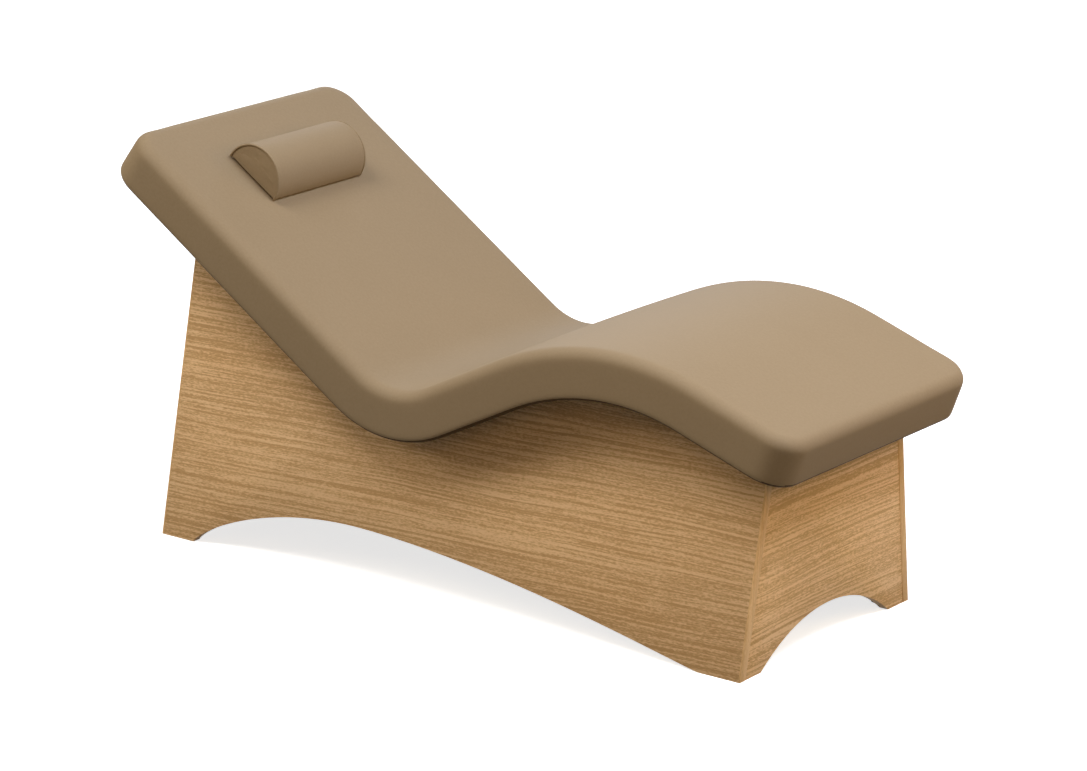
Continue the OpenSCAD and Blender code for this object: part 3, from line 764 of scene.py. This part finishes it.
def ring_lines():
    """Growth rings cut lengthways: each line darkens slowly and ends sharply."""
    tree, given, result = new_group("ring_lines", {"Count": 85, "Wander": 5}, ["Value"])
    place = given["Vector"]
    wander = calc(tree, "MULTIPLY", streaks(tree, place, 0.9, 14), given["Wander"])
    height = put(tree, "ShaderNodeSeparateXYZ", {0: place}).outputs[2]
    ring = calc(tree, "FRACT", calc(tree, "MULTIPLY_ADD", height, given["Count"], wander))
    line = calc(tree, "SUBTRACT", calc(tree, "POWER", ring, RING_FALL), RING_MEAN)
    fade = calc(tree, "SUBTRACT", streaks(tree, place, 2.5, 26), 0.3)
    strength = calc(tree, "MULTIPLY", fade, RING_FADE)
    join(tree, result, {"Value": calc(tree, "MULTIPLY", line, strength)})
    return tree


rings = ring_lines()

# %% Wood
PORE_DEPTH = 0.6  # how far a pore lies below the wood round it
WOOD_LAYERS = (("Bands", 0.6, 16, 1),  # name, features along and across to the metre, detail
               ("Streaks", 1.7, 195, 2),
               ("Fibres", 15, 500, 2),
               ("Rays", 120, 420, 1))


def wood_grain():
    """Rings and four layers of noise give a tone of about 0.5. Pores are a mask over it."""
    weights = {"Rings": 0.3, "Streaks": 0.5, "Bands": 0.3, "Fibres": 0.25, "Rays": 0.3,
               "Waver": 0.004}
    tree, given, result = new_group("wood_grain", weights, ["Tone", "Pores", "Height"])
    sway = calc(tree, "SUBTRACT", streaks(tree, given["Vector"], 2.2, 5), 0.5)
    shift = calc(tree, "MULTIPLY", sway, given["Waver"])
    upwards = put(tree, "ShaderNodeCombineXYZ", {2: shift}).outputs[0]
    moved = put(tree, "ShaderNodeVectorMath", {0: given["Vector"], 1: upwards},
                operation="ADD").outputs[0]
    line = use(tree, rings, {"Vector": moved})["Value"]
    tone = calc(tree, "SUBTRACT", 0.5, calc(tree, "MULTIPLY", line, given["Rings"]))
    for layer, along, across, detail in WOOD_LAYERS:
        value = calc(tree, "SUBTRACT", streaks(tree, moved, along, across, detail), 0.5)
        tone = calc(tree, "MULTIPLY_ADD", value, given[layer], tone)
    pores = use(tree, fleck, {"Vector": moved, "Along": 40, "Across": 800, "Level": 0.62})["Mask"]
    height = calc(tree, "SUBTRACT", tone, calc(tree, "MULTIPLY", pores, PORE_DEPTH))
    join(tree, result, {"Tone": tone, "Pores": pores, "Height": height})
    return tree


grain = wood_grain()


# %% Pebbled skin
def skin_grain():
    """The fine pebble of coated fabric: small cells with softer creases over them."""
    tree, given, result = new_group("skin_grain", {"Cells": 700, "Creases": 160},
                                    ["Height", "Tone"])
    cells = put(tree, "ShaderNodeTexVoronoi", {"Vector": given["Vector"], "Scale": given["Cells"]},
                feature="SMOOTH_F1").outputs["Distance"]
    creases = noise(tree, given["Vector"], given["Creases"], 4, 0.6)
    broad = noise(tree, given["Vector"], 9, 3)
    height = calc(tree, "MULTIPLY_ADD", cells, 0.5, creases)
    tone = calc(tree, "MULTIPLY_ADD", creases, 0.8, calc(tree, "MULTIPLY", broad, 0.2))
    join(tree, result, {"Height": height, "Tone": tone})
    return tree


pebble = skin_grain()
print("node groups:", [g.name for g in bpy.data.node_groups])

# %% [markdown]
# ## Vinyl
#
# Coated upholstery fabric: one taupe, a fine pebble that only shows near by, and a soft gloss that
# widens the light rather than mirroring it. The strip that is turned under at the lower edge of the
# pad has the same finish in a dark brown: painted shade, which draws the thin dark line of shade
# there.


# %% Vinyl
def vinyl_finish(name, dark, light):
    """Pebbled vinyl between two colours."""
    material, tree, shader, place = new_material(name)
    skin = use(tree, pebble, {"Vector": place})
    join(tree, shader, {
        "Base Color": ramp(tree, skin["Tone"], ((0.35, dark), (0.65, light))),
        "Roughness": between(tree, skin["Tone"], 0.55, 0.65),
        "Specular IOR Level": 0.03,
        "Normal": bump(tree, skin["Height"], 0.0001, 0.4)})
    return material


vinyl = vinyl_finish("taupe_vinyl", srgb(143, 124, 97), srgb(147, 128, 101))
# painted shade: the same vinyl in a dark brown, which stands in for the shade along the pad's lower
# edge
painted_shade_vinyl = vinyl_finish("taupe_vinyl_painted_shade", srgb(64, 48, 27), srgb(70, 53, 30))
for slot, finish in zip(pad.material_slots, (vinyl, painted_shade_vinyl)):
    slot.material = finish
for piece in (pillow, welts):
    wear(piece, vinyl)
print("vinyl on:", [piece.name for piece in (pad, pillow, welts)])

# %% [markdown]
# ## Oak
#
# Veneer is sliced from one log, so its lines run nearly straight along the board, a few
# millimetres apart, in broad bands of slightly different tone, with short dark pores between them.
# On the long boards the lines run lengthways, on the end boards crossways, and in the lippings
# upwards. A Mapping node turns the one pattern to each of these.

# %% Oak
OAK_DARK = srgb(190, 153, 106)
OAK_MID = srgb(211, 175, 129)
OAK_LIGHT = srgb(229, 195, 150)
OAK_PORE = srgb(158, 121, 80)
OAK_WARMER = (1.04, 0.99, 0.92, 1)  # what the warmer stretches of a board are multiplied by
OAK_END_PAINTED_LIGHT = (1.13, 1.13, 1.05, 1)  # painted light: the end boards and lippings are made lighter, standing in for the stronger light on the end face
OAK_LAYERS = {"Rings": 0.65, "Streaks": 1.7, "Bands": 0.3, "Fibres": 1.0, "Rays": 1.3}
OAK_WAVER = 0.02


def oak_finish(name, turn, shift=(0, 0, 0), painted_light=None, lively=1.0):
    """Oak whose grain runs along X once its pattern is turned. Less lively wood is plainer."""
    material, tree, shader, place = new_material(name)
    along_grain = turned(tree, place, turn, shift)
    layers = {layer: weight * lively for layer, weight in OAK_LAYERS.items()}
    wood = use(tree, grain, {"Vector": along_grain, "Waver": OAK_WAVER, **layers})
    body = ramp(tree, wood["Tone"], ((0.25, OAK_DARK), (0.5, OAK_MID), (0.75, OAK_LIGHT)))
    warmer = blend_colours(tree, 1.0, body, OAK_WARMER, "MULTIPLY")
    body = blend_colours(tree, streaks(tree, along_grain, 1.6, 9), body, warmer)
    pores = calc(tree, "MULTIPLY", wood["Pores"], 0.3 * lively)
    body = blend_colours(tree, pores, body, OAK_PORE)
    # painted light: the end boards and lippings are multiplied lighter, for the stronger light on
    # the end face
    if painted_light:
        body = blend_colours(tree, 1.0, body, painted_light, "MULTIPLY")
    join(tree, shader, {
        "Base Color": body,
        "Roughness": between(tree, wood["Tone"], 0.66, 0.46),
        "Specular IOR Level": 0.15,
        "Normal": bump(tree, wood["Height"], 0.00015, 0.5)})
    return material


QUARTER = math.radians(90)
GRAIN_RISE = math.radians(1.8)  # the lines climb a little towards the feet end
oak_long = oak_finish("oak_veneer_lengthways", (0, GRAIN_RISE, 0))
oak_cross = oak_finish("oak_veneer_crossways", (0, GRAIN_RISE, QUARTER), (0.7, 0.4, 0.2),
                       OAK_END_PAINTED_LIGHT)
oak_up = oak_finish("oak_lipping_upwards", (0, QUARTER, 0), (0.3, 0.1, 0.5), OAK_END_PAINTED_LIGHT, 0.35)
for node, board in boards.items():
    wear(board, oak_long if node.startswith("side") else oak_cross)
wear(lippings, oak_up)
print("oak on:", [board.name for board in boards.values()] + [lippings.name])

# %% [markdown]
# ## Inside: plywood, pine, metal, plastic and cloth
#
# Under the vinyl and behind the boards sit the parts that carry the load. They show from below and
# when the pieces are taken apart, so each of them has its own finish as well.
#
# ### Plywood
#
# Birch plywood is a stack of thin veneers. Its faces show birch grain, and its cut edges show pale
# and dark stripes. Stripes through the whole board would also mark a face that lies a little
# askew, so they are kept to the faces that look sideways out of the stack.

# %% Plywood's layers
PLY_LAYER = 0.0028  # metres, one pale and one dark veneer together
PLY_DARK_FROM = 0.28  # a layer's stripe rises from 0 to 0.5 and falls, and is dark above this
PLY_CUT_BELOW = 0.6  # a face is cut across the veneers if its normal lies less along the stack


def ply_layers():
    """Stripes along X that show only on the faces that are cut across the veneers."""
    tree, given, result = new_group("ply_layers", {"Layer": PLY_LAYER, "Facing": 0}, ["Mask"])
    along = put(tree, "ShaderNodeSeparateXYZ", {0: given["Vector"]}).outputs[0]
    stripe = calc(tree, "PINGPONG", calc(tree, "DIVIDE", along, given["Layer"]), 0.5)
    dark = calc(tree, "GREATER_THAN", stripe, PLY_DARK_FROM)
    edge = calc(tree, "LESS_THAN", calc(tree, "ABSOLUTE", given["Facing"]), PLY_CUT_BELOW)
    join(tree, result, {"Mask": calc(tree, "MULTIPLY", dark, edge)})
    return tree


ply_stack = ply_layers()

# %% Plywood
BIRCH_DARK = srgb(196, 168, 124)
BIRCH_LIGHT = srgb(224, 200, 158)
PLY_EDGE = srgb(150, 116, 76)


def birch_finish(name, turn, stack_axis=None):
    """Sanded birch: grain along X after the turn, and cut veneers stacked along an axis, 0 or 1."""
    material, tree, shader, place = new_material(name)
    wood = use(tree, grain, {"Vector": turned(tree, place, turn), "Rings": 0.15, "Streaks": 0.5,
                             "Bands": 0.6, "Fibres": 0.5, "Waver": 0.05})
    body = ramp(tree, wood["Tone"], ((0.3, BIRCH_DARK), (0.7, BIRCH_LIGHT)))
    if stack_axis is not None:
        stacked = turned(tree, place, (0, 0, stack_axis * QUARTER))
        normal = tree.nodes.new("ShaderNodeTexCoord").outputs["Normal"]
        facing = put(tree, "ShaderNodeSeparateXYZ", {0: normal}).outputs[stack_axis]
        cut = use(tree, ply_stack, {"Vector": stacked, "Facing": facing})["Mask"]
        body = blend_colours(tree, calc(tree, "MULTIPLY", cut, 0.7), body, PLY_EDGE)
    join(tree, shader, {
        "Base Color": body,
        "Roughness": 0.7,
        "Specular IOR Level": 0.25,
        "Normal": bump(tree, wood["Height"], 0.0001, 0.4)})
    return material


birch_rail = birch_finish("birch_ply_rails", (0, 0, QUARTER), 0)
birch_cleat = birch_finish("birch_ply_cleats", (0, 0, 0), 1)
birch_deck = birch_finish("birch_ply_deck", (0, 0, QUARTER))

# %% [markdown]
# ### Pine
#
# The corner posts are planed pine, with wide rings. The grain of the oak does for it too, with
# stronger rings and a paler ramp, and turned so that it runs up the post.

# %% Pine
PINE_DARK = srgb(205, 160, 104)
PINE_LIGHT = srgb(232, 200, 150)
pine, tree, shader, place = new_material("planed_pine")
wood = use(tree, grain, {"Vector": turned(tree, place, (0, QUARTER, 0)), "Rings": 0.9,
                         "Streaks": 0.5, "Bands": 0.5, "Fibres": 0.4, "Waver": 0.08})
join(tree, shader, {
    "Base Color": ramp(tree, wood["Tone"], ((0.25, PINE_DARK), (0.7, PINE_LIGHT))),
    "Roughness": between(tree, wood["Tone"], 0.72, 0.52),
    "Normal": bump(tree, wood["Height"], 0.0002, 0.4)})

# %% [markdown]
# ### Zinc-plated steel
#
# Screws, bolts and brackets are bright metal under a thin plating. One flat grey would look like
# chrome, so cells and a haze vary its colour and gloss, as the crystals of the zinc do.


# %% Zinc-plated steel
def zinc_patches():
    """Faint patches of the plating, and fine scratches round them."""
    tree, given, result = new_group("zinc_patches", {"Patches": 260}, ["Tone", "Height"])
    patches = put(tree, "ShaderNodeTexVoronoi",
                  {"Vector": given["Vector"], "Scale": given["Patches"]},
                  feature="F1").outputs["Distance"]
    haze = calc(tree, "MULTIPLY", noise(tree, given["Vector"], 90, 4, 0.6), 0.6)
    join(tree, result, {"Tone": calc(tree, "MULTIPLY_ADD", patches, 0.4, haze),
                        "Height": noise(tree, given["Vector"], 1800, 2)})
    return tree


ZINC_DARK = srgb(196, 199, 205)
ZINC_LIGHT = srgb(224, 226, 230)
zinc, tree, shader, place = new_material("zinc_plated_steel")
patch = use(tree, zinc_patches(), {"Vector": place})
join(tree, shader, {
    "Base Color": ramp(tree, patch["Tone"], ((0.3, ZINC_DARK), (0.7, ZINC_LIGHT))),
    "Metallic": 1,
    "Roughness": between(tree, patch["Tone"], 0.22, 0.47),
    "Normal": bump(tree, patch["Height"], 0.00004, 0.4)})

# %% [markdown]
# ### Plastic and cloth
#
# The levelling feet are moulded with a fine texture that hides scratches, for which the vinyl's
# pebble serves again with smaller cells. The dust cloth and the hook-and-loop strips are tangles of
# fibres. Modelled hairs would be far too many for pieces that hardly show, so two noises, drawn out
# across each other, stand for them.

# %% Black plastic
PLASTIC_DARK = srgb(28, 28, 29)
PLASTIC_LIGHT = srgb(40, 40, 41)
plastic, tree, shader, place = new_material("moulded_black_plastic")
skin = use(tree, pebble, {"Vector": place, "Cells": 1500, "Creases": 400})
join(tree, shader, {
    "Base Color": ramp(tree, skin["Tone"], ((0.3, PLASTIC_DARK), (0.7, PLASTIC_LIGHT))),
    "Roughness": between(tree, skin["Tone"], 0.42, 0.62),
    "Normal": bump(tree, skin["Height"], 0.00008, 0.5)})

# %% Dust cloth, and hook and loop
TANGLE_TURN = math.radians(78)  # between the two ways that most fibres lie


def tangle():
    """Fibres that lie every way: two noises drawn out across each other."""
    tree, given, result = new_group("tangle", {"Fine": 900, "Long": 90}, ["Height"])
    one = streaks(tree, given["Vector"], given["Long"], given["Fine"], 2)
    across = turned(tree, given["Vector"], (0, 0, TANGLE_TURN))
    other = streaks(tree, across, given["Long"], given["Fine"], 2)
    join(tree, result, {"Height": calc(tree, "MAXIMUM", one, other)})
    return tree


fibres = tangle()


def cloth_finish(name, dark, light, fine, long, deep):
    """Fibres, so many to the metre across and along, and as deep as given in metres."""
    material, tree, shader, place = new_material(name)
    height = use(tree, fibres, {"Vector": place, "Fine": fine, "Long": long})["Height"]
    join(tree, shader, {
        "Base Color": ramp(tree, height, ((0.4, dark), (0.75, light))),
        "Roughness": 0.95,
        "Specular IOR Level": 0.2,
        "Normal": bump(tree, height, deep, 0.8)})
    return material


dust = cloth_finish("non_woven_dust_cloth", srgb(24, 24, 25), srgb(52, 52, 54),
                    fine=900, long=90, deep=0.0002)
gripping = cloth_finish("hook_and_loop_tape", srgb(22, 21, 20), srgb(58, 55, 52),
                        fine=1600, long=700, deep=0.0006)

# %% [markdown]
# ### Foam
#
# Cut foam is a field of small open cells, so a Voronoi texture gives both its colour and its pits.

# %% Foam
FOAM_DARK = srgb(206, 196, 160)
FOAM_LIGHT = srgb(240, 234, 206)
foam, tree, shader, place = new_material("open_cell_foam")
cells = put(tree, "ShaderNodeTexVoronoi", {"Vector": place, "Scale": 900}).outputs["Distance"]
join(tree, shader, {
    "Base Color": ramp(tree, cells, ((0.1, FOAM_DARK), (0.6, FOAM_LIGHT))),
    "Roughness": 1,
    "Specular IOR Level": 0.1,
    "Normal": bump(tree, cells, 0.0005, 0.8)})

# %% [markdown]
# ## Every node gets its finish
#
# The record that comes with the frame names a material slot for each node. A finish is looked up
# by that slot, except for the few nodes whose grain runs another way.

# %% Which node wears what
by_slot = {"birch_ply": birch_rail, "pine": pine, "zinc_steel": zinc, "black_plastic": plastic,
           "dust_cloth": dust, "hook_and_loop": gripping, "foam": foam, "vinyl": vinyl,
           "oak_veneer": oak_long, "oak_lipping": oak_up}
by_node = {"deck_cleat_right": birch_cleat, "deck_cleat_left": birch_cleat,
           "bent_deck": birch_deck, "head_end_panel": oak_cross, "feet_end_panel": oak_cross}
for part in frame["record"]["subparts"]:
    node = part["node"]
    wear(frame["nodes"][node], by_node.get(node, by_slot[part["material_slot"]]))

# %% [markdown]
# ## The studio
#
# A pale floor, a white surround and soft lamps. The surround is white only for camera, gloss and
# transmission rays, so that it hardly lights the object. Two lamps high up, a cool one over the
# feet end and a pale one over the right side, make the tops bright. One low lamp from the head end
# lights the wood under the back rest. The other lamps are low and weak, warm round the feet end
# and cool behind, and the corner that points at the camera is left darkest.

# %% What the camera sees
WHITE = (1, 1, 1, 1)


def seen(tree):
    """1 for camera, gloss and transmission rays, and 0 for those that light other surfaces."""
    path = tree.nodes.new("ShaderNodeLightPath").outputs
    return calc(tree, "MAXIMUM", path["Is Camera Ray"],
                calc(tree, "MAXIMUM", path["Is Glossy Ray"], path["Is Transmission Ray"]))


# %% Floor
FLOOR_SEEN = (0.8, 0.8, 0.8, 1)
FLOOR_BOUNCE = (0.15, 0.15, 0.15, 1)  # what light finds that goes on to the underside
FLOOR_GLOW = (0.75, 1.0)  # near the lounger, where its shadow shows, and far off
FLOOR_GLOW_AT = (1.6, 4.5)  # metres from the middle
bpy.ops.object.select_all(action="DESELECT")
bpy.ops.mesh.primitive_plane_add(size=40)
floor = named("studio_floor")
floor_finish, tree, shader, place = new_material("pale_floor")
by_camera = seen(tree)
join(tree, shader, {
    "Base Color": blend_colours(tree, by_camera, FLOOR_BOUNCE, FLOOR_SEEN),
    "Roughness": 1,
    "Specular IOR Level": 0})
distance = put(tree, "ShaderNodeVectorMath", {0: place}, operation="LENGTH").outputs["Value"]
strength = put(tree, "ShaderNodeMapRange", {
    "Value": distance, "From Min": FLOOR_GLOW_AT[0], "From Max": FLOOR_GLOW_AT[1],
    "To Min": FLOOR_GLOW[0], "To Max": FLOOR_GLOW[1]}).outputs[0]
glow = put(tree, "ShaderNodeEmission", {"Color": WHITE, "Strength": strength}).outputs[0]
lit = put(tree, "ShaderNodeAddShader", {0: shader.outputs[0], 1: glow}).outputs[0]
both = put(tree, "ShaderNodeMixShader", {0: by_camera, 1: shader.outputs[0], 2: lit}).outputs[0]
join(tree, tree.nodes["Material Output"], {"Surface": both})
wear(floor, floor_finish)

# %% Surround
AMBIENT = 0.03  # of white, all that the surround lights the object with
world = bpy.data.worlds.new("studio_surround")
world.use_nodes = True
scene.world = world
tree = world.node_tree
join(tree, tree.nodes["Background"], {
    "Strength": between(tree, seen(tree), AMBIENT, 1),
    "Color": WHITE})
scene.view_settings.view_transform = "Standard"

# %% Lamps
COOL = (0.73, 0.82, 1.0)
PALE = (1.0, 0.98, 0.96)
MILD = (1.0, 0.88, 0.71)
WARM = (1.0, 0.72, 0.40)
MIDDLE = Vector((0, 0, 0.4))  # what every lamp points at
LAMP_SPREAD = 0.476  # width of a lamp for each metre it is away, which sets how soft its shadow is
LAMPS = (  # name, degrees round from the feet end and up, metres away, watts, colour
    ("key_feet", 4, 58, 4.2, 158, COOL),
    ("key_right", 244, 58, 6, 196, PALE),
    ("fill_head", 214, 24, 7, 148, MILD),
    ("fill_camera", -56, 24, 4.2, 19, WARM),
    ("fill_feet", -11, 24, 4.2, 20, WARM),
    ("fill_left", 34, 24, 4.2, 41, WARM),
    ("fill_behind", 124, 24, 4.2, 40, COOL),
)


def softbox(name, round_by, up_by, away, watts, colour):
    """A round soft lamp that points at the middle of the lounger."""
    turn, lift = math.radians(round_by), math.radians(up_by)
    out = Vector((math.cos(turn) * math.cos(lift), math.sin(turn) * math.cos(lift),
                  math.sin(lift)))
    data = bpy.data.lights.new(name, "AREA")
    data.shape = "DISK"
    data.size = LAMP_SPREAD * away
    data.energy = watts
    data.color = colour
    lamp = bpy.data.objects.new(name, data)
    lamp.location = MIDDLE + away * out
    lamp.rotation_euler = (MIDDLE - lamp.location).to_track_quat("-Z", "Y").to_euler()
    scene.collection.objects.link(lamp)


for lamp_values in LAMPS:
    softbox(*lamp_values)
print("lamps:", len(LAMPS))

# %% Removing the guide curve
bpy.data.objects.remove(guide)
